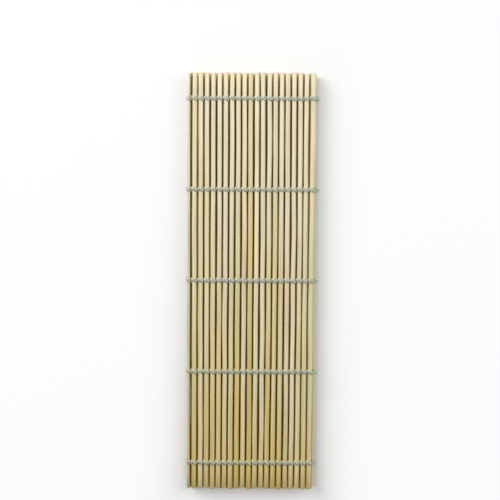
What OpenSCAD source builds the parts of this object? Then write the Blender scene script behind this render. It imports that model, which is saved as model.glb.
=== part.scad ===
// Sushi rolling mat of bamboo slats, folded in three layers as it is sold.
// X runs across the slats, Y along them and Z up through the layers.
// The layers are one strip: bottom layer, right fold, middle layer, left fold, top layer.

/* [Slats] */
// Length of every slat
slat_len = 240; // [180:5:300]
// Width of a slat
slat_w = 2.8; // [2.4:0.1:3.6]
// Thickness of a slat
slat_t = 1.6; // [1.4:0.1:2.2]
// Radius of a slat's long edges
edge_r = 0.5; // [0.3:0.1:0.6]
// Height of the rounded front face above its own edges
crown = 0.15; // [0.05:0.05:0.3]
// Gap that the crossing strands hold open between two slats
slat_gap = 0.74; // [0.6:0.02:1]
// Number of slats in each of the three layers
layer_slats = 20; // [12:1:20]

/* [Twine] */
// Number of twine rows
twine_rows = 5; // [3:1:5]
// Distance from one row to the next
row_pitch = 52.5; // [30:0.5:55]
// Width of one strand where it crosses a slat
strand_w = 1.9; // [1.6:0.1:2.1]
// Flat that the pull of the weave leaves on a strand's crown
strand_flat = 0.3; // [0.1:0.1:0.5]
// Angle at which a strand crosses a slat
lay_angle = 24; // [15:1:28]
// Thickness of a strand between two slats
link_d = 0.6; // [0.4:0.1:0.8]
// Diameter of the knot that ties off a row
knot_d = 1.8; // [1.6:0.1:2.6]
// Diameter of the cut end behind a knot
tail_d = 0.9; // [0.6:0.1:1.2]
// Length of the cut end, from the knot's centre
tail_len = 1.5; // [1.2:0.1:3]

/* [Folds] */
// Air between the twine of two layers that lie on each other
layer_gap = 0.16; // [0.1:0.02:0.6]
// Gap between the slat on edge in a fold and the layers beside it
fold_gap = 0.15; // [0.1:0.05:0.8]
// The same gap at the top layer, which has slid to the right
top_fold_gap = 1.26; // [0.1:0.02:1.6]

/* [Fits] */
// Air between a strand and the slat that it crosses
twine_fit = 0.03; // [0.02:0.01:0.08]
// Air between the twine of two slats that turn against each other
turn_fit = 0.04; // [0.03:0.01:0.08]
// Distance by which a strand between two slats keeps away from the other strand
link_fit = 0.05; // [0.03:0.01:0.1]
// Depth of the flats on which the lowest twine rests
rest_flat = 0.2; // [0.1:0.05:0.3]

/* [Hidden] */
$fn = 48;
crown_faces = 180;
numbers = [for (i = [1:layer_slats]) str(i < 10 ? "0" : "", i)];
rows = [1:twine_rows];

bamboo = [0.88, 0.83, 0.68];
cotton = [0.80, 0.81, 0.73];

FRONT = 1;
BACK = -1;

slat_pitch = slat_w + slat_gap;
layer_span = (layer_slats - 1) * slat_pitch;
crown_r = (pow(slat_w / 2, 2) + crown * crown) / (2 * crown);

// Each strand lies in a ring round its slat, as wide as the turning neighbours allow
ring_r = slat_pitch / 2 - turn_fit;
strand_r = (strand_w - strand_flat) / 2;
side_reach = (ring_r - strand_r) * cos(lay_angle) + strand_flat / 2 * sin(lay_angle) + strand_r;
cross_y = ring_r * sin(lay_angle) + link_fit;

// The layers lie as far apart as their twine lets them
layer_rise = 2 * ring_r + layer_gap;
bottom_z = ring_r - rest_flat;
middle_z = bottom_z + layer_rise;
top_z = middle_z + layer_rise;

// The hinge lines of a fold lie in the middle of its slat's thickness
fold_reach = slat_t / 2 + fold_gap + slat_w / 2;
top_fold_reach = slat_t / 2 + top_fold_gap + slat_w / 2;
top_slide = top_fold_reach - fold_reach;
left_fold_x = -top_slide / 2 - layer_span / 2 - fold_reach;
right_fold_x = -top_slide / 2 + layer_span / 2 + fold_reach;
top_x = left_fold_x + top_fold_reach;

// Inside a fold the strand is pressed flat, clear of the rings of the layers beside it
pressed_r = norm([fold_reach, layer_rise / 2]) - ring_r - turn_fit;

// A knot sits beyond the reach of the strands that it ties
knot_x = side_reach + twine_fit + knot_d / 2;
tail_tilt = 20;
room = 4 * ring_r;

// Height of a row's centre along the slats
function row_y(r) = (r - (twine_rows + 1) / 2) * row_pitch;

// The side on which strand 0 or 1 crosses slat i of a layer
function side_of(strand, i) = (i + strand) % 2 == 0 ? FRONT : BACK;

// Cross-section of a slat, rounded on the front and flat on the back
module slat_outline() {
    intersection() {
        union() {
            square([slat_w - 2 * edge_r, slat_t], center = true);
            square([slat_w, slat_t - 2 * edge_r], center = true);
            for (sx = [-1, 1], sy = [-1, 1])
                translate([sx * (slat_w / 2 - edge_r), sy * (slat_t / 2 - edge_r)]) circle(edge_r);
        }
        translate([0, slat_t / 2 - crown_r]) circle(crown_r, $fn = crown_faces);
    }
}

module slat() {
    rotate([90, 0, 0]) linear_extrude(slat_len, center = true) slat_outline();
}

// Half of a strand's cross-section, out to the ring's radius, its round side in three facets
module strand_outline(reach) {
    facet = 180 / 3;
    low = strand_r * (1 - cos(facet));
    side = strand_r * sin(facet);
    polygon([
        [0, -strand_w / 2],
        [reach - strand_r, -strand_w / 2],
        [reach - low, -strand_flat / 2 - side],
        [reach, -strand_flat / 2],
        [reach, strand_flat / 2],
        [reach - low, strand_flat / 2 + side],
        [reach - strand_r, strand_w / 2],
        [0, strand_w / 2]
    ]);
}

// Room that a strand leaves for its slat
module slat_bed() {
    w = slat_w / 2 + twine_fit;
    t = slat_t / 2 + twine_fit;
    c = (edge_r + twine_fit) * (2 - sqrt(2));
    rotate([90, 0, 0]) linear_extrude(room, center = true) polygon([
        [w, t - c], [w - c, t], [c - w, t], [-w, t - c],
        [-w, c - t], [c - w, -t], [w - c, -t], [w, c - t]
    ]);
}

// One strand's crossing of a slat, on its front or its back
module stitch(side, reach = ring_r) {
    difference() {
        intersection() {
            rotate([90, 0, -side * lay_angle]) rotate_extrude() strand_outline(reach);
            translate([-room / 2, -room / 2, side == FRONT ? twine_fit / 2 : -room - twine_fit / 2])
                cube(room);
        }
        slat_bed();
    }
}

// Both strands' crossings of one slat in every row
module slat_twine(front_reach = ring_r, back_reach = ring_r) {
    for (r = rows) translate([0, row_y(r), 0]) {
        stitch(FRONT, front_reach);
        stitch(BACK, back_reach);
    }
}

// Stretch of a strand that passes from one slat's front to the next one's back, or up again
module link(side) {
    long = slat_gap - 2 * twine_fit;
    translate([(slat_pitch - long) / 2, -side * cross_y, 0]) rotate([0, 90, 0]) cylinder(h = long, d = link_d);
}

// One unbroken strand along a whole layer, in front of one slat and behind the next
module strand(s) {
    union() {
        for (i = [0:layer_slats - 1]) translate([i * slat_pitch, 0, 0]) stitch(side_of(s, i));
        for (i = [0:layer_slats - 2]) translate([i * slat_pitch, 0, 0]) link(side_of(s, i));
    }
}

module twine_row() {
    strand(0);
    strand(1);
}

// Knot and cut end that tie off a row beyond a layer's last slat
module knot() {
    translate([knot_x, 0, 0]) rotate([0, 90, -tail_tilt]) rotate_extrude() {
        intersection() {
            circle(d = knot_d);
            translate([0, -knot_d]) square([knot_d, 2 * knot_d]);
        }
        square([tail_d / 2, tail_len]);
    }
}

module edge_knots() {
    for (r = rows) translate([0, row_y(r), 0]) knot();
}

module layer_of_slats() {
    for (i = [0:layer_slats - 1]) translate([i * slat_pitch, 0, 0]) slat();
}

// Places, each with its first slat at the origin and its front along Z
module in_bottom_layer() {
    translate([right_fold_x - fold_reach - layer_span, 0, bottom_z]) children();
}

module in_right_fold() {
    translate([right_fold_x, 0, (bottom_z + middle_z) / 2]) rotate([0, -90, 0]) children();
}

module in_middle_layer() {
    translate([right_fold_x - fold_reach, 0, middle_z]) rotate([0, 180, 0]) children();
}

module in_left_fold() {
    translate([left_fold_x, 0, (middle_z + top_z) / 2]) rotate([0, -90, 0]) children();
}

module in_top_layer(i = 0) {
    translate([top_x + i * slat_pitch, 0, top_z]) children();
}

module top_slat(i) {
    color(bamboo) in_top_layer(i) slat();
}

module top_twine(i) {
    color(cotton) in_top_layer(i) slat_twine();
}

module left_fold_slat() {
    color(bamboo) in_left_fold() slat();
}

module left_fold_twine() {
    color(cotton) in_left_fold() slat_twine(back_reach = pressed_r);
}

module right_fold_slat() {
    color(bamboo) in_right_fold() slat();
}

module right_fold_twine() {
    color(cotton) in_right_fold() slat_twine(front_reach = pressed_r);
}

module middle_slats() {
    color(bamboo) in_middle_layer() layer_of_slats();
}

module middle_twine_row(r) {
    color(cotton) in_middle_layer() translate([0, row_y(r), 0]) twine_row();
}

module bottom_slats() {
    color(bamboo) in_bottom_layer() layer_of_slats();
}

// The lowest crossings are cut flat where the folded mat rests on them
module bottom_twine_row(r) {
    color(cotton) difference() {
        in_bottom_layer() translate([0, row_y(r), 0]) twine_row();
        translate([-layer_span, row_y(r) - room / 2, -room]) cube([2 * layer_span, room, room]);
    }
}

module top_edge_knots() {
    color(cotton) in_top_layer(layer_slats - 1) edge_knots();
}

module bottom_edge_knots() {
    color(cotton) in_bottom_layer() rotate([0, 0, 180]) edge_knots();
}

for (i = [0:layer_slats - 1]) {
    top_slat(i);
    top_twine(i);
}
left_fold_slat();
left_fold_twine();
right_fold_slat();
right_fold_twine();
middle_slats();
bottom_slats();
for (r = rows) {
    middle_twine_row(r);
    bottom_twine_row(r);
}
top_edge_knots();
bottom_edge_knots();
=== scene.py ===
"""Looks of a bamboo sushi rolling mat, folded in three layers, dressed over its solids."""
import logging
import math
import random
from dataclasses import dataclass, field
from enum import Enum

import bmesh
import bpy
from bmesh.types import BMesh, BMFace, BMVert
from bpy.types import Material, Mesh, Node, NodeSocket, NodeTree, Object
from mathutils import Matrix, Vector
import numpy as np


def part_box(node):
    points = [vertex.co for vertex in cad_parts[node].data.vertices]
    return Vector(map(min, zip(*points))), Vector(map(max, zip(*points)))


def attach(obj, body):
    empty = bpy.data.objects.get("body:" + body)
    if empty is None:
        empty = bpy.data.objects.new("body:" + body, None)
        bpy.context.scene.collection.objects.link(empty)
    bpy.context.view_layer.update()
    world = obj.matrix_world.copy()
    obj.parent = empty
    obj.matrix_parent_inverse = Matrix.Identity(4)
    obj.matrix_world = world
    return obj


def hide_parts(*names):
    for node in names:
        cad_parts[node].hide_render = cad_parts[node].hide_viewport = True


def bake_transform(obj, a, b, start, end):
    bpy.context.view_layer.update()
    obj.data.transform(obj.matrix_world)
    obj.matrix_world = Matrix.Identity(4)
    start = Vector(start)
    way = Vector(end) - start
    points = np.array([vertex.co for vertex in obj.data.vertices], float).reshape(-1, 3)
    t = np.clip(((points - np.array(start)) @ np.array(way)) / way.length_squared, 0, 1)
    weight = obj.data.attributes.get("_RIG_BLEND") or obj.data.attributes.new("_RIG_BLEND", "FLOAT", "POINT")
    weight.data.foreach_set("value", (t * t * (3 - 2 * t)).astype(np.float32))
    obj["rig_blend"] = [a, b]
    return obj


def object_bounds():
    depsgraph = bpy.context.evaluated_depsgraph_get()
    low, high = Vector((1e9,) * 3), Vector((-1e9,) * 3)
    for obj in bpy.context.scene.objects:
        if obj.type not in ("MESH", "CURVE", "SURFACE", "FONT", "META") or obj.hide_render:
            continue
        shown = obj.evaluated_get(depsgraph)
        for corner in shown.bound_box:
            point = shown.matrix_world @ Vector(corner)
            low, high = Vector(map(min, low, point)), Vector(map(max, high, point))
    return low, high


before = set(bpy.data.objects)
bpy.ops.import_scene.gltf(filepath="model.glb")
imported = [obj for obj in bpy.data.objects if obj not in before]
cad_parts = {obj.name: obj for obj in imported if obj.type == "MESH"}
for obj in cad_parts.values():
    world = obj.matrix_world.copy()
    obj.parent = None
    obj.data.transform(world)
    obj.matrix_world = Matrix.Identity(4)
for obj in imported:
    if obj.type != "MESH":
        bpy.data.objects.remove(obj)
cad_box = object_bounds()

log = logging.getLogger("rolling_mat")

MM = 0.001
SLATS = 20
ROWS = 5
SEED = 20
Pair = tuple[float, float]
Triple = tuple[float, float, float]


class Face(Enum):
    """The two faces of a slat that a strand can cross."""

    FRONT = 1
    BACK = -1


class Slot(Enum):
    """The record's two material slots."""

    BAMBOO = "bamboo"
    COTTON = "cotton"


def linear(colour: str) -> tuple[float, float, float, float]:
    """Turn an sRGB hex colour into linear light.

    Args:
        colour: Six hex digits, with or without a leading #.

    Returns:
        Linear red, green and blue, and an alpha of 1.
    """
    digits = colour.lstrip("#")
    parts = [int(digits[i:i + 2], 16) / 255 for i in (0, 2, 4)]
    light = [p / 12.92 if p <= 0.04045 else ((p + 0.055) / 1.055) ** 2.4 for p in parts]
    return (*light, 1.0)


def set_inputs(node: Node, inputs: dict) -> None:
    """Link or set some inputs of a node.

    Args:
        node: The node.
        inputs: Input names or numbers, each with a value, an output, or a node for its first output.
    """
    for name, value in inputs.items():
        source = value.outputs[0] if isinstance(value, Node) else value
        if isinstance(source, NodeSocket):
            node.id_data.links.new(source, node.inputs[name])
        else:
            node.inputs[name].default_value = source


def add_node(tree: NodeTree, kind: str, inputs: dict, **settings: str | bool) -> Node:
    """Add a node with its inputs and settings.

    Args:
        tree: Node tree of the material or world.
        kind: Blender's name for the node, without the ShaderNode that all of them start with.
        inputs: What set_inputs takes.
        settings: Values for the node's own properties.

    Returns:
        The new node.
    """
    node = tree.nodes.new("ShaderNode" + kind)
    for name, value in settings.items():
        setattr(node, name, value)
    set_inputs(node, inputs)
    return node


def set_ramp(node: Node, stops: list[tuple[float, str]]) -> None:
    """Give a colour ramp its stops.

    Args:
        node: A colour ramp node, which starts with two stops.
        stops: Position and sRGB hex colour of each stop, from low to high.
    """
    elements = node.color_ramp.elements
    while len(elements) < len(stops):
        elements.new(0.5)
    for element, (position, colour) in zip(elements, stops):
        element.position = position
        element.color = linear(colour)


def new_material(name: str) -> tuple[Material, NodeTree, Node]:
    """Start a material.

    Args:
        name: Name of the real material and its finish.

    Returns:
        The material, its node tree and its shader.
    """
    made = bpy.data.materials.new(name)
    made.use_nodes = True
    return made, made.node_tree, made.node_tree.nodes["Principled BSDF"]


def new_twine() -> BMesh:
    """Start a mesh for strands.

    Returns:
        An empty mesh that has the lay attribute, which follows the twisted plies.
    """
    mesh = bmesh.new()
    mesh.verts.layers.float_vector.new("lay")
    return mesh


def as_data(mesh: BMesh, name: str) -> Mesh:
    """Turn a finished shape into mesh data, for an object or to be stamped many times.

    Args:
        mesh: The shape, which is freed.
        name: Name for the data.

    Returns:
        The mesh data.
    """
    data = bpy.data.meshes.new(name)
    mesh.to_mesh(data)
    mesh.free()
    return data


def add_object(name: str, data: bpy.types.ID) -> Object:
    """Put a new object into the scene.

    Args:
        name: Name of the object.
        data: Its mesh, lamp or camera.

    Returns:
        The object, at the origin.
    """
    made = bpy.data.objects.new(name, data)
    bpy.context.scene.collection.objects.link(made)
    return made


def stamp(mesh: BMesh, template: Mesh) -> list[BMVert]:
    """Add one copy of a kept shape to a mesh.

    Args:
        mesh: Mesh to add to.
        template: The kept shape.

    Returns:
        The copy's points.
    """
    before = len(mesh.verts)
    mesh.from_mesh(template)
    mesh.verts.ensure_lookup_table()
    return mesh.verts[before:]


@dataclass(frozen=True)
class Bamboo:
    """Split and planed moso bamboo, without any oil: pale, dry and straight-grained.

    The streaks and the bands each have their width and length in millimetres, detail and roughness.
    """

    pale: str = "#E9E7CC"
    cream: str = "#DEDAB6"
    gold: str = "#D1C27B"
    fibre: str = "#A89256"
    # Painted gap shade: golden brown on the slats' rounded edges, dark rust brown on their sides
    edge: str = "#D0A41A"
    side: str = "#985000"
    rough: float = 0.62
    ior: float = 1.5
    gloss: float = 0.2
    streak: tuple[float, float, float, float] = (0.55, 45.0, 4.0, 0.6)
    band: tuple[float, float, float, float] = (2.2, 120.0, 2.0, 0.5)
    band_shift: float = 0.28
    streak_share: float = 0.5
    relief: float = 0.35
    relief_mm: float = 0.08
    bundles_per_mm: float = 2.4
    bundle: str = "#8C6F3E"
    pith: str = "#DCCB9B"
    end_rough: float = 0.8

    def material(self) -> Material:
        """Make the material of the slats' long faces.

        Returns:
            A material that reads each slat's own grain, tone and side attributes, and paints shade on the
            slats' sides from the side attribute.
        """
        made, tree, shader = new_material("planed_bamboo")
        grain, tone, side = [add_node(tree, "Attribute", {}, attribute_name=name)
                             for name in ("grain", "tone", "side")]
        # Real fibres are 0.1 to 0.2 mm wide. They are drawn about 0.5 mm wide, as fine as the render shows.
        # The broad bands are where one split slat runs nearer to the culm's green skin than another.
        noises = []
        for wide, long, detail, rough in (self.streak, self.band):
            scaled = add_node(tree, "VectorMath", {
                0: grain.outputs["Vector"], 1: (1 / wide, 1 / long, 1 / wide),
            }, operation="MULTIPLY")
            noises.append(add_node(tree, "TexNoise", {
                "Vector": scaled, "Scale": 1.0, "Detail": detail, "Roughness": rough,
            }))
        streaks, bands = noises
        shift = add_node(tree, "MapRange", {
            "Value": bands, "From Min": 0.3, "From Max": 0.7,
            "To Min": -self.band_shift, "To Max": self.band_shift,
        })
        warm = add_node(tree, "Math", {0: tone.outputs["Fac"], 1: shift}, operation="ADD", use_clamp=True)
        body = add_node(tree, "ValToRGB", {"Fac": warm})
        set_ramp(body, [(0.0, self.pale), (0.5, self.cream), (1.0, self.gold)])
        line = add_node(tree, "MapRange", {
            "Value": streaks, "From Min": 0.47, "From Max": 0.72, "To Max": self.streak_share,
        })
        mixed = add_node(tree, "Mix", {0: line, 6: body, 7: linear(self.fibre)}, data_type="RGBA")
        relief = add_node(tree, "Bump", {
            "Height": streaks, "Strength": self.relief, "Distance": self.relief_mm * MM,
        })
        # Painted shade: the side attribute browns the slats' sides, most where they face a gap, and a little
        # of their backs, so the gaps between slats look dark and warm
        gap_shade_colour = add_node(tree, "ValToRGB", {"Fac": side.outputs["Fac"]})
        set_ramp(gap_shade_colour, [(0.4, self.edge), (0.95, self.side)])
        uneven = add_node(tree, "MapRange", {
            "Value": streaks, "From Min": 0.3, "From Max": 0.6, "To Min": 0.72,
        })
        amount = add_node(tree, "Math", {0: side.outputs["Fac"], 1: uneven}, operation="MULTIPLY")
        # Mixes the painted gap shade over the bamboo's own colour, uneven along the streaks
        split = add_node(tree, "Mix", {0: amount, 6: mixed.outputs[2], 7: gap_shade_colour}, data_type="RGBA")
        set_inputs(shader, {
            "Base Color": split.outputs[2], "Normal": relief,
            "Roughness": self.rough, "IOR": self.ior, "Specular IOR Level": self.gloss,
        })
        return made

    def end_material(self) -> Material:
        """Make the material of the sawn ends, where the fibre bundles show as dark dots.

        Returns:
            A material that reads the same grain attribute.
        """
        made, tree, shader = new_material("sawn_bamboo_end")
        grain = add_node(tree, "Attribute", {}, attribute_name="grain")
        flat = add_node(tree, "VectorMath", {
            0: grain.outputs["Vector"], 1: (self.bundles_per_mm, 0.0, self.bundles_per_mm),
        }, operation="MULTIPLY")
        dots = add_node(tree, "TexVoronoi", {"Vector": flat, "Scale": 1.0})
        spread = add_node(tree, "MapRange", {"Value": dots, "From Min": 0.12, "From Max": 0.42})
        colour = add_node(tree, "ValToRGB", {"Fac": spread})
        set_ramp(colour, [(0.0, self.bundle), (1.0, self.pith)])
        set_inputs(shader, {"Base Color": colour, "Roughness": self.end_rough})
        return made


@dataclass(frozen=True)
class CottonTwine:
    """Two-ply cotton twine, undyed: matt, a little grey, with soft fuzz in the light."""

    crest: str = "#C6CABA"
    # Painted shade in the grooves between the plies
    groove_shade: str = "#ABAD96"
    fleck: str = "#B6B799"
    rough: float = 0.95
    sheen: float = 0.25
    fuzz: Triple = (2.5, 2.5, 0.7)
    fleck_share: float = 0.55
    relief: float = 0.6
    relief_mm: float = 0.12

    def material(self) -> Material:
        """Make the material of the strands.

        Returns:
            A material that reads the lay attribute, which follows the twisted plies.
        """
        made, tree, shader = new_material("plied_cotton_twine")
        lay = add_node(tree, "Attribute", {}, attribute_name="lay")
        parts = add_node(tree, "SeparateXYZ", {"Vector": lay.outputs["Vector"]})
        # The lay attribute holds the cosine round the twisted strand: its square is 1 on a ply, 0 between two
        across = add_node(tree, "Math", {0: parts.outputs["X"], 1: parts.outputs["X"]}, operation="MULTIPLY")
        # Painted shade: the grooves between the two plies are darker than the plies' crests
        body = add_node(tree, "ValToRGB", {"Fac": across})
        set_ramp(body, [(0.0, self.groove_shade), (0.55, self.crest)])
        # Single fibres are far too fine to show, so bundles of them are drawn about 0.3 mm wide
        along = add_node(tree, "VectorMath", {0: lay.outputs["Vector"], 1: self.fuzz}, operation="MULTIPLY")
        fuzz = add_node(tree, "TexNoise", {"Vector": along, "Scale": 1.0, "Detail": 3.0, "Roughness": 0.65})
        flecks = add_node(tree, "MapRange", {
            "Value": fuzz, "From Min": 0.4, "From Max": 0.75, "To Max": self.fleck_share,
        })
        mixed = add_node(tree, "Mix", {0: flecks, 6: body, 7: linear(self.fleck)}, data_type="RGBA")
        relief = add_node(tree, "Bump", {
            "Height": fuzz, "Strength": self.relief, "Distance": self.relief_mm * MM,
        })
        set_inputs(shader, {
            "Base Color": mixed.outputs[2], "Normal": relief,
            "Roughness": self.rough, "Sheen Weight": self.sheen, "Sheen Roughness": 0.5,
        })
        return made


@dataclass(frozen=True)
class Seat:
    """Where one slat lies, how far its strands reach, in millimetres, and how much painted shade its two
    sides get.
    """

    place: Matrix
    left: float
    right: float
    front: float
    back: float
    gap_shades: Pair

    @property
    def x(self) -> float:
        """Place of the slat's middle across the mat, in millimetres."""
        return self.place.translation.x

    def crest(self, face: Face) -> float:
        """Return how far the strand's outside lies from the slat's middle plane on one face."""
        return self.front if face is Face.FRONT else self.back


@dataclass(frozen=True)
class Sway:
    """How far the hand-tied slats stray from straight and parallel: they fan out and bulge to one side."""

    fan: float = math.radians(0.31)
    bulge: float = 0.26
    skew: float = 0.8

    def at(self, x: float, y: float) -> float:
        """Work out the shift along X of whatever belongs at one place.

        Args:
            x: Place across the slats, in millimetres.
            y: Place along the slats, in millimetres.

        Returns:
            The shift, in millimetres.
        """
        corner = Vector(cad_box[1]) / MM
        share = max(-1.0, min(1.0, x / corner.x))
        swell = self.bulge * (1 - share ** 2) * (1 + self.skew * share) * math.cos(math.pi / 2 * y / corner.y)
        return self.fan * share * y + swell

    def base(self, seat: Seat, row: float) -> Matrix:
        """Return the matrix from a seat's own millimetres, shifted as at one row, to metres in place."""
        return Matrix.Scale(MM, 4) @ Matrix.Translation((self.at(seat.x, row), 0, 0)) @ seat.place


@dataclass(frozen=True)
class Strip:
    """The strip of slats from the bottom layer's free edge to the top layer's, read from the solids."""

    nudge: float = 0.07
    # How much painted gap shade a side that faces outwards gets
    open_side_shade: float = 0.15

    def centre(self, node: str) -> Vector:
        """Return the middle of a node's box, in millimetres."""
        low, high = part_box(node)
        return (Vector(low) + Vector(high)) / 2 / MM

    def size(self, node: str) -> Vector:
        """Return the size of a node's box, in millimetres."""
        low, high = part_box(node)
        return (Vector(high) - Vector(low)) / MM

    def row_places(self) -> list[float]:
        """Return where each row of twine lies along the slats, in millimetres."""
        return [self.centre(f"bottom_twine_row_{r + 1}").y for r in range(ROWS)]

    @property
    def pitch(self) -> float:
        """Distance from one slat to the next, in millimetres."""
        return self.centre("top_slat_02").x - self.centre("top_slat_01").x

    @property
    def crest(self) -> float:
        """How far a strand's crest stands from the middle of its slat, in millimetres."""
        return self.size("top_twine_01").z / 2

    @property
    def pressed(self) -> float:
        """The same for the flattened strands inside a fold."""
        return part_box("left_fold_twine")[1][0] / MM - self.centre("left_fold_slat").x

    @property
    def knot_radius(self) -> float:
        """Radius of the knots at a free edge, in millimetres."""
        return self.size("top_edge_knots").z / 2

    @property
    def knot_out(self) -> float:
        """Distance from the last slat's middle to the middle of its knots, in millimetres."""
        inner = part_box("top_edge_knots")[0][0] / MM
        return inner + self.knot_radius - self.centre(f"top_slat_{SLATS}").x

    def in_line(self, first: Vector, step: float, turn: Matrix, ends: Pair, crests: Pair) -> list[Seat]:
        """Give the seats of a whole layer.

        Args:
            first: Middle of the first slat.
            step: Distance to the next slat along X, with its sign.
            turn: Rotation that brings the slat's front and the strip's direction into place.
            ends: Reach of the strands before the first slat and past the last one.
            crests: Crest of the strands on the front and on the back.

        Returns:
            One seat for each slat.
        """
        half = self.pitch / 2
        found = []
        for i in range(SLATS):
            place = Matrix.Translation(first + Vector((i * step, 0, 0))) @ turn
            left = ends[0] if i == 0 else half
            right = ends[1] if i == SLATS - 1 else half
            # Painted shade: only the sides that face a gap between slats get it in full, a side that faces
            # outwards gets little
            gap_shades = tuple(self.open_side_shade if reach > half else 1.0 for reach in (left, right))
            found.append(Seat(place, left, right, crests[0], crests[1], gap_shades))
        return found

    def bottom(self) -> list[Seat]:
        """Lay out the bottom layer, from its free edge at the left.

        Returns:
            Its seats.
        """
        middle, width = self.centre("bottom_slats"), self.size("top_slat_01").x
        first = Vector((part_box("bottom_slats")[0][0] / MM + width / 2, 0, middle.z))
        reach = self.centre("right_fold_slat").x - (first.x + (SLATS - 1) * self.pitch)
        return self.in_line(first, self.pitch, Matrix.Identity(4), (self.knot_out, reach),
                            (self.crest, middle.z))

    def middle(self) -> list[Seat]:
        """Lay out the middle layer, from the right fold, face down.

        Returns:
            Its seats.
        """
        middle, width = self.centre("middle_slats"), self.size("top_slat_01").x
        first = Vector((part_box("middle_slats")[1][0] / MM - width / 2, 0, middle.z))
        reach = self.centre("right_fold_slat").x - first.x
        return self.in_line(first, -self.pitch, Matrix.Rotation(math.pi, 4, "Y"), (reach, reach),
                            (self.crest, self.crest))

    def top(self) -> list[Seat]:
        """Return the top layer's seats, from the left fold."""
        return self.in_line(self.centre("top_slat_01"), self.pitch, Matrix.Identity(4),
                            (self.pitch / 2, self.knot_out), (self.crest, self.crest))

    def on_edge(self, node: str, crests: Pair) -> list[Seat]:
        """Give the seat of the slat that stands on edge in a fold.

        Args:
            node: The fold's slat.
            crests: Crest of the strands on the front and on the back.

        Returns:
            A list with the one seat.
        """
        half = (self.centre("top_slat_01").z - self.centre("middle_slats").z) / 2
        middle = self.centre(node)
        middle.x -= math.copysign(self.nudge, middle.x)
        turn = Matrix.Rotation(-math.pi / 2, 4, "Y")
        # Both sides of a fold's slat face outwards, so they get little painted shade
        gap_shades = (self.open_side_shade, self.open_side_shade)
        return [Seat(Matrix.Translation(middle) @ turn, half, half, crests[0], crests[1], gap_shades)]

    def left_fold(self) -> list[Seat]:
        """Return the left fold's seat, its front outwards."""
        return self.on_edge("left_fold_slat", (self.crest, self.pressed))

    def right_fold(self) -> list[Seat]:
        """Return the right fold's seat, its front inwards."""
        return self.on_edge("right_fold_slat", (self.pressed, self.crest))


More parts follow.
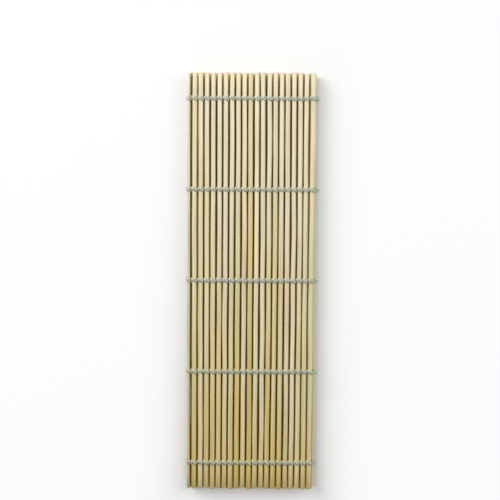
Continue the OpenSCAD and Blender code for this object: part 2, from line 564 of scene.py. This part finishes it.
@dataclass
class Slat:
    """A slat split from a bamboo culm, planed to size and never quite straight."""

    length: float
    width: float
    thick: float
    row_pitch: float
    edge: float = 0.4
    crown: float = 0.15
    rim: float = 0.12
    cuts: int = 22
    seams: tuple[float, ...] = (-0.25, 0.0, 0.25)
    culm_mm: Pair = (400, 4000)
    tone: float = 0.38
    tone_spread: float = 0.12
    tone_limits: Pair = (0.05, 0.9)
    # Painted light falloff: how much more golden and darker the slats get towards their -Y end
    falloff_slope: float = 0.9
    golden_tone: float = 0.88
    # Painted gap shade: how far in from each side it reaches, in millimetres, and how much of it the back
    # gets
    shade_band: float = 0.6
    back_shade: float = 0.6
    bow: float = 0.34
    lift: float = 0.08
    waver: float = 0.16
    wave_turns: tuple[float, ...] = (0.6, 1.7, 3.9)
    wave_high: Pair = (0.3, 1.0)
    wave_long: Pair = (0.8, 1.2)
    pinned: float = 0.9
    stretch: Pair = (-0.5, 0.35)
    slide: float = 0.3
    sway: Sway = Sway()
    rng: random.Random = field(default_factory=lambda: random.Random(SEED))

    def __post_init__(self) -> None:
        """Plane the blank from which every slat is bent."""
        self.blank = as_data(self.plane(), "slat_blank")

    def wander(self, reach: float) -> list[Triple]:
        """Choose a few slow waves that bend a slat.

        Args:
            reach: Height of the slowest wave, in millimetres.

        Returns:
            Height, turns over the slat's length and phase of each wave.
        """
        waves = []
        for turns in self.wave_turns:
            high = reach * self.rng.uniform(*self.wave_high) / (1 + turns)
            waves.append((high, turns * self.rng.uniform(*self.wave_long), self.rng.uniform(0, math.tau)))
        return waves

    def along(self, waves: list[Triple], y: float) -> float:
        """Add up the waves at one place along the slat, which the twine holds at every row.

        Args:
            waves: Height, turns and phase of each wave.
            y: Place along the slat, in millimetres.

        Returns:
            The sum, in millimetres.
        """
        free = 1 - self.pinned * (1 - abs(math.sin(math.pi * y / self.row_pitch)))
        return free * sum(high * math.sin(math.tau * turns * y / self.length + phase)
                          for high, turns, phase in waves)

    def plane(self) -> BMesh:
        """Make a straight slat at the origin, its edges rounded, cut along its length so that it can bend.

        Returns:
            A mesh in millimetres, with empty grain, tone and side attributes.
        """
        mesh = bmesh.new()
        mesh.verts.layers.float_vector.new("grain")
        mesh.verts.layers.float.new("tone")
        mesh.verts.layers.float.new("side")
        bmesh.ops.create_cube(mesh, size=1.0)
        bmesh.ops.scale(mesh, vec=(self.width, self.length, self.thick), verts=mesh.verts)
        shared = {"profile": 0.5, "affect": "EDGES", "material": -1}
        long_edges = [e for e in mesh.edges if abs(e.verts[0].co.y - e.verts[1].co.y) > self.length / 2]
        bmesh.ops.bevel(mesh, geom=long_edges, offset=self.edge, segments=3, **shared)
        rims = [e for e in mesh.edges if abs(e.verts[0].co.y + e.verts[1].co.y) > self.length - 0.01]
        bmesh.ops.bevel(mesh, geom=rims, offset=self.rim, segments=1, **shared)
        for i in range(1, self.cuts):
            self.cut(mesh, Vector((0, 1, 0)), (i / self.cuts - 0.5) * self.length)
        for share in self.seams:
            self.cut(mesh, Vector((1, 0, 0)), share * self.width)
        for face in mesh.faces:
            face.material_index = 1 if abs(face.normal.y) > 0.9 else 0
            face.smooth = True
        return mesh

    def cut(self, mesh: BMesh, across: Vector, at: float) -> None:
        """Cut the whole mesh by a plane, so that it gets a row of points there.

        Args:
            mesh: Mesh to cut.
            across: Direction across the plane.
            at: Distance of the plane from the origin, in millimetres.
        """
        everything = [*mesh.verts, *mesh.edges, *mesh.faces]
        bmesh.ops.bisect_plane(mesh, geom=everything, plane_co=across * at, plane_no=across)

    def build(self, seats: list[Seat], golden: bool = False) -> BMesh:
        """Make one slat for each seat.

        Args:
            seats: Where the slats lie.
            golden: Whether the slats were split near the culm's skin, where bamboo is golden.

        Returns:
            A mesh in metres, with the grain, tone and side attributes.
        """
        mesh = bmesh.new()
        for seat in seats:
            points = stamp(mesh, self.blank)
            self.colour(mesh, points, seat, golden)
            self.bend(mesh, points, seat)
        return mesh

    def colour(self, mesh: BMesh, points: list[BMVert], seat: Seat, golden: bool) -> None:
        """Give one slat its own grain, its tone with a painted light falloff along it, and painted shade on
        its sides and back.

        Args:
            mesh: Mesh that holds the slat.
            points: The slat's points, straight and at the origin.
            seat: The slat's seat.
            golden: Whether the slat is golden all over.
        """
        grain = mesh.verts.layers.float_vector["grain"]
        tone = mesh.verts.layers.float["tone"]
        side = mesh.verts.layers.float["side"]
        wide, long = self.culm_mm
        start = Vector((self.rng.uniform(0, wide), self.rng.uniform(0, long), self.rng.uniform(0, wide)))
        low, high = self.tone_limits
        shade = self.golden_tone
        if not golden:
            shade = min(high, max(low, self.rng.gauss(self.tone, self.tone_spread)))
        # Painted shade: a band at each side and the back are browned, in full only where a side faces a gap
        flat = self.width / 2 - self.shade_band
        for point in points:
            point[grain] = start + point.co
            # Painted light falloff: the tone rises towards the slat's -Y end, standing in for weaker light
            # there
            point[tone] = shade - self.falloff_slope * point.co.y / self.length
            past = max(0.0, (abs(point.co.x) - flat) / self.shade_band)
            back = self.back_shade if point.co.z < self.rim - self.thick / 2 else 0.0
            point[side] = max(seat.gap_shades[point.co.x > 0] * past, max(seat.gap_shades) * back)

    def bend(self, mesh: BMesh, points: list[BMVert], seat: Seat) -> None:
        """Bend one slat a little and put it in its seat.

        Args:
            mesh: Mesh that holds the slat.
            points: The slat's points, straight and at the origin.
            seat: Where the slat goes.
        """
        bow, lift = self.wander(self.bow), self.wander(self.lift)
        left, right = self.wander(self.waver), self.wander(self.waver)
        stretch = 1 + self.rng.uniform(*self.stretch) / self.length
        slide = self.rng.uniform(-self.slide, self.slide)
        half = self.width / 2
        for point in points:
            x, y, z = point.co
            high = z - self.crown * (x / half) ** 2 if z > 0 else z
            edge = self.along(left, y) * (half - x) / self.width
            edge += self.along(right, y) * (half + x) / self.width
            aside = x + edge + self.along(bow, y)
            point.co = Vector((aside, y * stretch + slide, high + self.along(lift, y)))
        bmesh.ops.transform(mesh, matrix=seat.place, verts=points)
        for point in points:
            point.co.x += self.sway.at(seat.x, point.co.y)
        bmesh.ops.scale(mesh, vec=(MM, MM, MM), verts=points)


@dataclass(frozen=True)
class Station:
    """One cross-section of a strand on its way, in millimetres."""

    at: Vector
    up: Vector
    wide: float
    thick: float


@dataclass(frozen=True)
class Strand:
    """A strand of two-ply twine, swept through its stations."""

    sides: int = 8
    lobe: float = 0.1
    turn_mm: float = 5.2

    def sweep(self, mesh: BMesh, stations: list[Station], phase: float = 0.0,
              part: slice = slice(None)) -> None:
        """Sweep one strand or a part of it, closed at both ends.

        Args:
            mesh: Mesh to add to, which has the lay attribute.
            stations: Cross-sections from one end to the other.
            phase: Twist with which the strand starts, in turns.
            part: The cross-sections to make. Two parts that share one fit together there.
        """
        lay = mesh.verts.layers.float_vector["lay"]
        ring = bmesh.ops.create_circle(mesh, cap_ends=True, radius=1.0, segments=self.sides)["verts"]
        for point in ring:
            angle = math.atan2(point.co.y, point.co.x)
            point.co *= 1 + self.lobe * math.cos(2 * angle)
            point[lay] = (math.cos(angle), math.sin(angle), 0.0)
        runs = [phase * self.turn_mm]
        for before, after in zip(stations, stations[1:]):
            runs.append(runs[-1] + (after.at - before.at).length)
        face, last = ring[0].link_faces[0], Matrix.Identity(4)
        chosen = range(len(stations))[part]
        for i in chosen:
            if i != chosen[0]:
                grown = bmesh.ops.extrude_face_region(mesh, geom=[face])["geom"]
                if i != chosen[1]:
                    bmesh.ops.delete(mesh, geom=[face], context="FACES_ONLY")
                face = next(f for f in grown if isinstance(f, BMFace))
                ring = [v for v in grown if isinstance(v, BMVert)]
            now = self.frame_at(stations, i, runs[i])
            bmesh.ops.transform(mesh, matrix=now @ last.inverted(), verts=ring)
            for point in ring:
                point[lay] = (point[lay][0], point[lay][1], runs[i])
            last = now
        bmesh.ops.recalc_face_normals(mesh, faces=mesh.faces)
        for face in mesh.faces:
            face.smooth = len(face.verts) < self.sides

    def frame_at(self, stations: list[Station], i: int, run: float) -> Matrix:
        """Work out the matrix that puts the unit ring in its place.

        Args:
            stations: All cross-sections.
            i: Number of this one.
            run: Length of the strand up to here.

        Returns:
            The matrix, with the section's size and the strand's twist.
        """
        here = stations[i]
        before, after = stations[max(i - 1, 0)], stations[min(i + 1, len(stations) - 1)]
        along = (after.at - before.at).normalized()
        side = here.up.cross(along).normalized()
        up = along.cross(side)
        basis = Matrix((side, up, along)).transposed().to_4x4()
        size = Matrix.Diagonal((here.wide / 2, here.thick / 2, 1.0, 1.0))
        twist = Matrix.Rotation(math.tau * run / self.turn_mm, 4, "Z")
        return Matrix.Translation(here.at) @ basis @ size @ twist


@dataclass
class Weave:
    """The strands that cross the slats of a layer or fold, in front of one and behind the next.

    A crossing is a squarish arch, wide and thick on top, narrow and thin in the gaps, where it dips below
    the slat's middle plane. On top it may bite a little into the slat that it presses on.
    """

    strip: Strip
    lay_angle: float = math.radians(24)
    wide: float = 2.05
    narrow: float = 1.2
    thick: float = 0.86
    thin: float = 0.46
    squareness: float = 2.7
    dip: float = 0.12
    bite: float = 0.05
    shoulder: float = 0.35
    lean: float = 0.9
    taper: float = 1.5
    full: Pair = (0.92, 1.06)
    slip: float = 0.12
    fold_shift: float = 0.5
    stations: int = 9
    variants: int = 5
    sway: Sway = Sway()
    strand: Strand = Strand()
    rng: random.Random = field(default_factory=lambda: random.Random(SEED + 2))
    kept: dict[tuple[float, float, float, int], Mesh] = field(default_factory=dict)

    def crossing(self, seat: Seat, face: Face) -> list[Station]:
        """Lay out one crossing over a slat, from gap to gap.

        Args:
            seat: The slat's seat.
            face: The face that the strand crosses.

        Returns:
            The strand's cross-sections, in the frame of that face. They dip below the middle plane at a gap,
            and run straight on to a bend that is further away, as in a fold.
        """
        left, right, crest = seat.left, seat.right, seat.crest(face)
        thick = min(self.thick, crest - self.strip.size("top_slat_01").z / 2 + self.bite)
        high = crest - thick / 2
        half = self.strip.pitch / 2
        cross = half * math.tan(self.lay_angle)
        found = []
        for i in range(self.stations):
            angle = math.pi * (1 - i / (self.stations - 1))
            c, s = math.cos(angle), math.sin(angle)
            reach = right if c > 0 else left
            foot = self.dip if reach < half + self.dip else -self.shoulder * high
            share = abs(s) ** (2 / self.squareness)
            x = math.copysign(abs(c) ** (2 / self.squareness), c) * min(reach, half)
            found.append(Station(
                at=Vector((x, -cross * x / min(reach, half), share * (high + foot) - foot)),
                up=Vector((c * self.lean, 0, max(s, 0.05))).normalized(),
                wide=self.narrow + (self.wide - self.narrow) * share ** self.taper,
                thick=self.thin + (thick - self.thin) * share,
            ))
        upright = Vector((0, 0, 1))
        if left > half + self.dip:
            found.insert(0, Station(Vector((-left, cross, 0)), upright, self.narrow, self.thin))
        if right > half + self.dip:
            found.append(Station(Vector((right, -cross, 0)), upright, self.narrow, self.thin))
        return found

    def template(self, seat: Seat, face: Face) -> Mesh:
        """Choose one of a few crossings of the same reach, each with its own twist.

        Args:
            seat: The slat's seat.
            face: The face that the strand crosses.

        Returns:
            The crossing at the origin, in millimetres, with the lay attribute.
        """
        variant = self.rng.randrange(self.variants)
        key = (round(seat.left, 3), round(seat.right, 3), round(seat.crest(face), 3), variant)
        if key not in self.kept:
            mesh = new_twine()
            self.strand.sweep(mesh, self.crossing(seat, face), 0.5 * variant / self.variants)
            self.kept[key] = as_data(mesh, "crossing")
        return self.kept[key]

    def turn(self, face: Face) -> Matrix:
        """Return the turn that brings a crossing from the slat's front to a face."""
        return Matrix.Identity(4) if face is Face.FRONT else Matrix.Rotation(math.pi, 4, "X")

    def cross(self, mesh: BMesh, seat: Seat, row: float, face: Face) -> None:
        """Lay one strand over one face of a slat.

        Args:
            mesh: Mesh to add to.
            seat: The slat's seat.
            row: Place of the row along the slat.
            face: The face that the strand crosses.
        """
        points = stamp(mesh, self.template(seat, face))
        full = Matrix.Diagonal((1.0, self.rng.uniform(*self.full), 1.0, 1.0))
        slide = Matrix.Translation((0, row + self.rng.uniform(-self.slip, self.slip), 0))
        matrix = self.sway.base(seat, row) @ slide @ self.turn(face) @ full
        bmesh.ops.transform(mesh, matrix=matrix, verts=points)

    def over_edge(self, seat: Seat, face: Face, gap: float) -> list[Station]:
        """Lay out a strand that crosses the slat on edge in the left fold, up to the top layer's first gap.

        Args:
            seat: Seat of the fold's slat, with the top layer at its right.
            face: The face that the strand crosses: the front is the outside of the fold.
            gap: Distance from the slat's middle to where the top layer's strands begin.

        Returns:
            The strand's cross-sections, in the frame of the face that it crosses.
        """
        whole = self.crossing(seat, face)
        middle = len(whole) // 2
        start, crest, cross = whole[:middle + 1], whole[middle], whole[0].at.y
        # Each bend has its place across, along and off the slat, where its outside faces, and how full it is
        if face is Face.FRONT:
            edge = self.strip.size("top_slat_01").x / 2
            over = edge + self.thick / 2
            bends = [
                (0.65, 0.42, crest.at.z, 0.0, 1.0, 1.0),
                (edge + 0.05, 0.34, 0.95, 0.7, 0.7, 1.0),
                (over - 0.08, 0.16, 0.45, 0.95, 0.3, 1.0),
                (over, -0.1, -0.1, 1.0, 0.0, 1.0),
                (over - 0.04, -0.4, -0.65, 0.95, -0.3, 0.95),
                (over - 0.2, -0.66, -gap + 0.4, 0.8, -0.6, 0.75),
                (seat.right - 0.3, -cross, -gap, 0.2, -1.0, 0.0),
            ]
            # The outer strand drifts along the slat as it climbs, to where its bends go on
            for i, station in enumerate(start):
                station.at.y += (self.fold_shift - station.at.y) * i / middle
        else:
            bends = [
                (0.6, -0.25, crest.at.z, 0.0, 1.0, 0.8),
                (1.05, -0.5, gap - 0.5, -0.4, 0.9, 0.5),
                (1.4, -0.7, gap - 0.15, -0.7, 0.7, 0.2),
                (seat.right - 0.05, -cross, gap, -1.0, 0.1, 0.0),
            ]
        for x, y, z, up_x, up_z, full in bends:
            wide = self.narrow + (self.wide - self.narrow) * full
            thick = self.thin + (crest.thick - self.thin) * full
            start.append(Station(Vector((x, y, z)), Vector((up_x, 0, up_z)).normalized(), wide, thick))
        return start

    def fold_strands(self, seat: Seat, rows: list[float], gap: float, loose: bool) -> BMesh:
        """Make one part of the left fold's strands.

        Args:
            seat: Seat of the fold's slat.
            rows: Places of the rows along the slats.
            gap: Distance from the slat's middle to where the top layer's strands begin.
            loose: Whether to make the part that bends with the top layer, or the part that stays on the slat.

        Returns:
            A mesh in metres, with the lay attribute.
        """
        mesh = new_twine()
        middle = self.stations // 2
        part = slice(middle, None) if loose else slice(middle + 1)
        for r, row in enumerate(rows):
            base = self.sway.base(seat, row)
            for face in Face:
                before = len(mesh.verts)
                self.strand.sweep(mesh, self.over_edge(seat, face, gap), 0.1 * r, part)
                mesh.verts.ensure_lookup_table()
                bmesh.ops.transform(mesh, matrix=base @ Matrix.Translation((0, row, 0)) @ self.turn(face),
                                    verts=mesh.verts[before:])
        return mesh

    def build(self, seats: list[Seat], rows: list[float]) -> BMesh:
        """Make the crossings of both strands on some slats in some rows.

        Args:
            seats: The slats' seats.
            rows: Places of the rows along the slats.

        Returns:
            A mesh in metres, with the lay attribute.
        """
        mesh = bmesh.new()
        for seat in seats:
            for row in rows:
                for face in Face:
                    self.cross(mesh, seat, row, face)
        return mesh


@dataclass
class Knots:
    """The knots that tie off the rows at a free edge, each with two short cut ends."""

    strip: Strip
    cord: float = 0.75
    turns: int = 30
    tails: tuple[Pair, ...] = ((-0.5, 0.2), (0.15, -0.2))
    tail_steps: int = 4
    tail_out: float = 0.4
    tail_long: float = 1.1
    stray: float = 0.25
    sway: Sway = Sway()
    strand: Strand = Strand(turn_mm=3.0)
    rng: random.Random = field(default_factory=lambda: random.Random(SEED + 1))

    def loop(self) -> list[Station]:
        """Lay out one tight overhand knot, a trefoil round the origin.

        Returns:
            Its cross-sections, the last in the same place as the first.
        """
        scale = (self.strip.knot_radius - self.cord / 2) / 3
        found = []
        for i in range(self.turns + 1):
            t = math.tau * i / self.turns
            x, y = math.sin(t) + 2 * math.sin(2 * t), math.cos(t) - 2 * math.cos(2 * t)
            at = Vector((x, y, -1.6 * math.sin(3 * t)))
            up = at.normalized() + Vector((0, 0, 0.3))
            found.append(Station(at * scale, up, self.cord, self.cord * 0.8))
        return found

    def tail(self, tilt: float, rise: float) -> list[Station]:
        """Lay out one cut end, which frays wider and flatter.

        Args:
            tilt: Angle from the row's line, seen from the front.
            rise: Height of the cut end over the knot's middle.

        Returns:
            Its cross-sections.
        """
        along = Vector((math.cos(tilt), math.sin(tilt), 0))
        found = []
        for i in range(self.tail_steps + 1):
            share = i / self.tail_steps
            at = along * (self.tail_out + self.tail_long * share) + Vector((0, 0, rise * share ** 2))
            wide, thick = self.cord * (0.85 + 0.35 * share), self.cord * (0.8 - 0.25 * share)
            found.append(Station(at, Vector((0, 0, 1)), wide, thick))
        return found

    def build(self, seat: Seat, outwards: float, rows: list[float]) -> BMesh:
        """Tie the knots of one free edge.

        Args:
            seat: Seat of the edge's last slat.
            outwards: 1 where the free edge lies along the slat's +X, -1 where it lies along -X.
            rows: Places of the rows along the slat.

        Returns:
            A mesh in metres, with the lay attribute.
        """
        mesh = bmesh.new()
        turn = Matrix.Identity(4) if outwards > 0 else Matrix.Rotation(math.pi, 4, "Z")
        loop = self.template(self.loop())
        tails = [self.template(self.tail(tilt, rise)) for tilt, rise in self.tails]
        for row in rows:
            out = Matrix.Translation((self.strip.knot_out, outwards * row, 0))
            base = self.sway.base(seat, row) @ turn @ out
            tied = Matrix.Rotation(self.rng.uniform(0, math.tau), 4, "Z")
            bmesh.ops.transform(mesh, matrix=base @ tied, verts=stamp(mesh, loop))
            for tail in tails:
                bent = Matrix.Rotation(self.rng.uniform(-self.stray, self.stray), 4, "Z")
                bmesh.ops.transform(mesh, matrix=base @ bent, verts=stamp(mesh, tail))
        return mesh

    def template(self, stations: list[Station]) -> Mesh:
        """Sweep one part of the knot and keep it.

        Args:
            stations: Its cross-sections.

        Returns:
            The part round the origin, in millimetres, with the lay attribute.
        """
        mesh = new_twine()
        self.strand.sweep(mesh, stations)
        return as_data(mesh, "knot_part")


@dataclass
class RollingMat:
    """The whole mat, layer by layer, each piece on the body that carries it."""

    strip: Strip = Strip()
    bamboo: Bamboo = Bamboo()
    twine: CottonTwine = CottonTwine()
    golden: int = 10
    fold_thick: float = 1.85
    fold_lift: float = 0.03
    bend_start: Triple = (-0.19, 0.0, -0.13)
    bend_run: Triple = (1.31, 0.0, 0.9)
    sharp: float = math.radians(50)

    def __post_init__(self) -> None:
        """Make the tools and finishes that all the layers share."""
        size = self.strip.size("top_slat_01")
        self.rows = self.strip.row_places()
        shared = {"length": size.y, "width": size.x, "row_pitch": self.rows[1] - self.rows[0]}
        self.slat = Slat(thick=size.z, **shared)
        self.fold_slat = Slat(thick=self.fold_thick, lift=self.fold_lift, **shared)
        self.weave = Weave(self.strip)
        self.knots = Knots(self.strip)
        self.finishes = {
            Slot.BAMBOO: [self.bamboo.material(), self.bamboo.end_material()],
            Slot.COTTON: [self.twine.material()],
        }

    def piece(self, name: str, mesh: BMesh, slot: Slot) -> Object:
        """Turn a finished mesh into an object.

        Args:
            name: Name of the piece.
            mesh: Its mesh, in metres and in place.
            slot: The material slot that it is dressed for.

        Returns:
            The object, in the scene.
        """
        data = as_data(mesh, name)
        for material in self.finishes[slot]:
            data.materials.append(material)
        log.info("%s: %d faces", name, len(data.polygons))
        return add_object(name, data)

    def place(self, name: str, mesh: BMesh, slot: Slot, body: str, node: str) -> None:
        """Turn a finished mesh into a piece that stands for one of the solids.

        Args:
            name: Name of the piece.
            mesh: Its mesh, in metres and in place.
            slot: The material slot that it is dressed for.
            body: The body that it rides on.
            node: The solid that it stands for.
        """
        made = self.piece(name, mesh, slot)
        if slot is Slot.BAMBOO:
            made.data.set_sharp_from_angle(angle=self.sharp)
        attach(made, body)
        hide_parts(node)

    def top_layer(self) -> None:
        """Build the top layer, in which every slat turns on its own."""
        for i, seat in enumerate(self.strip.top(), start=1):
            number = f"{i:02d}"
            slat = self.slat.build([seat], golden=i == self.golden)
            self.place(f"top_bamboo_{number}", slat, Slot.BAMBOO, f"top_{number}", f"top_slat_{number}")
            strands = self.weave.build([seat], self.rows)
            self.place(f"top_strands_{number}", strands, Slot.COTTON, f"top_{number}", f"top_twine_{number}")

    def folds(self) -> None:
        """Build the two folds, each with its slat on edge."""
        left, right = self.strip.left_fold(), self.strip.right_fold()
        for fold, seats in (("left_fold", left), ("right_fold", right)):
            self.place(f"{fold}_bamboo", self.fold_slat.build(seats), Slot.BAMBOO, fold, f"{fold}_slat")
        strands = self.weave.build(right, self.rows)
        self.place("right_fold_strands", strands, Slot.COTTON, "right_fold", "right_fold_twine")
        fold, first = left[0], self.strip.top()[0]
        gap = first.x - first.left - fold.x
        held = self.weave.fold_strands(fold, self.rows, gap, loose=False)
        self.place("left_fold_strands", held, Slot.COTTON, "left_fold", "left_fold_twine")
        loose = self.weave.fold_strands(fold, self.rows, gap, loose=True)
        links = self.piece("left_fold_links", loose, Slot.COTTON)
        # The bend runs slantwise: the inner strands start to turn at the slat's middle, the outer at its edge
        start = Vector((fold.x, 0, first.place.translation.z)) + Vector(self.bend_start)
        end = start + Vector(self.bend_run)
        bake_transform(links, "left_fold", "top_01", start=start * MM, end=end * MM)

    def held_layers(self) -> None:
        """Build the middle and the bottom layer."""
        for layer, seats in (("middle", self.strip.middle()), ("bottom", self.strip.bottom())):
            body = f"{layer}_layer"
            self.place(f"{layer}_bamboo", self.slat.build(seats), Slot.BAMBOO, body, f"{layer}_slats")
            for r, row in enumerate(self.rows, start=1):
                strands = self.weave.build(seats, [row])
                self.place(f"{layer}_strands_{r}", strands, Slot.COTTON, body, f"{layer}_twine_row_{r}")

    def free_edges(self) -> None:
        """Tie the knots at the two free edges."""
        top, bottom = self.strip.top()[-1], self.strip.bottom()[0]
        upper, lower = self.knots.build(top, 1, self.rows), self.knots.build(bottom, -1, self.rows)
        self.place("top_knots", upper, Slot.COTTON, f"top_{SLATS}", "top_edge_knots")
        self.place("bottom_knots", lower, Slot.COTTON, "bottom_layer", "bottom_edge_knots")

    def build(self) -> None:
        """Build every piece."""
        self.top_layer()
        self.folds()
        self.held_layers()
        self.free_edges()


@dataclass
class Studio:
    """Pale floor, soft light and the camera straight above the mat."""

    view_mm: float = 288.3
    lens: float = 100.0
    sensor: float = 36.0
    look_at: Pair = (-1.1, 17.6)
    roll: float = math.radians(0.4)
    floor_size: float = 6.0
    floor_drop: float = 0.0002
    paper_white: str = "#F6F6F4"
    fade: float = 0.03
    fade_power: float = 0.4
    fade_share: float = 0.85
    sky: float = 0.31
    box_size: float = 0.5
    lamps: tuple[tuple[str, Triple, float], ...] = (
        ("left_softbox", (-0.5, 0.42, 0.45), 5.25),
        ("right_softbox", (0.6, 0.25, 0.5), 2.4),
    )

    def camera(self) -> None:
        """Set the camera up, with the mat framed as in the photograph."""
        data = bpy.data.cameras.new("camera")
        data.lens, data.sensor_width, data.sensor_fit = self.lens, self.sensor, "HORIZONTAL"
        data.clip_start, data.clip_end = 0.01, 20.0
        camera = add_object("camera", data)
        away = self.view_mm * MM * self.lens / self.sensor
        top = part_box("top_slat_01")[1][2]
        camera.location = (self.look_at[0] * MM, self.look_at[1] * MM, top + away)
        camera.rotation_euler = (0.0, 0.0, self.roll)
        bpy.context.scene.camera = camera

    def floor(self) -> None:
        """Lay the pale floor, which keeps the mat's shadow."""
        mesh = bmesh.new()
        bmesh.ops.create_grid(mesh, x_segments=1, y_segments=1, size=self.floor_size / 2)
        data = as_data(mesh, "floor")
        data.materials.append(self.paper())
        floor = add_object("floor", data)
        floor.location.z = -self.floor_drop

    def paper(self) -> Material:
        """Make the floor's white paper, lifted to white for the camera away from the mat.

        Returns:
            The material.
        """
        made, tree, _ = new_material("white_paper")
        tree.nodes.clear()
        plain = add_node(tree, "BsdfDiffuse", {"Color": linear(self.paper_white)})
        light = add_node(tree, "Emission", {"Color": linear("#FFFFFF"), "Strength": 1.0})
        place = add_node(tree, "TexCoord", {})
        either = add_node(tree, "VectorMath", {0: place.outputs["Object"]}, operation="ABSOLUTE")
        past = add_node(tree, "VectorMath", {
            0: either, 1: (cad_box[1][0], cad_box[1][1], 0.0),
        }, operation="SUBTRACT")
        parts = add_node(tree, "SeparateXYZ", {"Vector": past})
        far = add_node(tree, "Math", {0: parts.outputs["X"], 1: parts.outputs["Y"]}, operation="MAXIMUM")
        share = add_node(tree, "MapRange", {"Value": far, "From Max": self.fade})
        steps = [("POWER", self.fade_power), ("MULTIPLY", self.fade_share), ("MULTIPLY", self.shown(tree))]
        for kind, by in steps:
            share = add_node(tree, "Math", {0: share, 1: by}, operation=kind)
        mix = add_node(tree, "MixShader", {0: share, 1: plain, 2: light})
        add_node(tree, "OutputMaterial", {"Surface": mix})
        return made

    def shown(self, tree: NodeTree) -> Node:
        """Add up the rays that show the background: those of the camera, of gloss and of glass.

        Args:
            tree: Node tree of the floor or the world.

        Returns:
            A node that gives 1 for those rays and 0 for all others.
        """
        path = add_node(tree, "LightPath", {})
        found = path.outputs["Is Camera Ray"]
        for kind in ("Is Glossy Ray", "Is Transmission Ray"):
            found = add_node(tree, "Math", {0: found, 1: path.outputs[kind]}, operation="MAXIMUM")
        return found

    def lamp(self, name: str, at: Triple, watts: float) -> None:
        """Hang one square softbox that faces the mat.

        Args:
            name: Name of the lamp.
            at: Its place, in metres.
            watts: Its power.
        """
        data = bpy.data.lights.new(name, "AREA")
        data.shape, data.size, data.energy = "SQUARE", self.box_size, watts
        lamp = add_object(name, data)
        lamp.location = at
        lamp.rotation_euler = (-Vector(at)).to_track_quat("-Z", "Y").to_euler()

    def world(self) -> None:
        """Light the room evenly, and show white behind the floor."""
        world = bpy.data.worlds.new("studio")
        world.use_nodes = True
        tree = world.node_tree
        tree.nodes.clear()
        room = add_node(tree, "Background", {"Color": linear("#FFFFFF"), "Strength": self.sky})
        white = add_node(tree, "Background", {"Color": linear("#FFFFFF"), "Strength": 1.0})
        mix = add_node(tree, "MixShader", {0: self.shown(tree), 1: room, 2: white})
        add_node(tree, "OutputWorld", {"Surface": mix})
        bpy.context.scene.world = world

    def build(self) -> None:
        """Set up the whole studio."""
        bpy.context.scene.view_settings.view_transform = "Standard"
        self.camera()
        self.floor()
        self.world()
        for name, at, watts in self.lamps:
            self.lamp(name, at, watts)


def main() -> None:
    """Build the studio and the mat."""
    logging.basicConfig(level=logging.INFO, format="%(message)s")
    Studio().build()
    RollingMat().build()


if __name__ == "__main__":
    main()
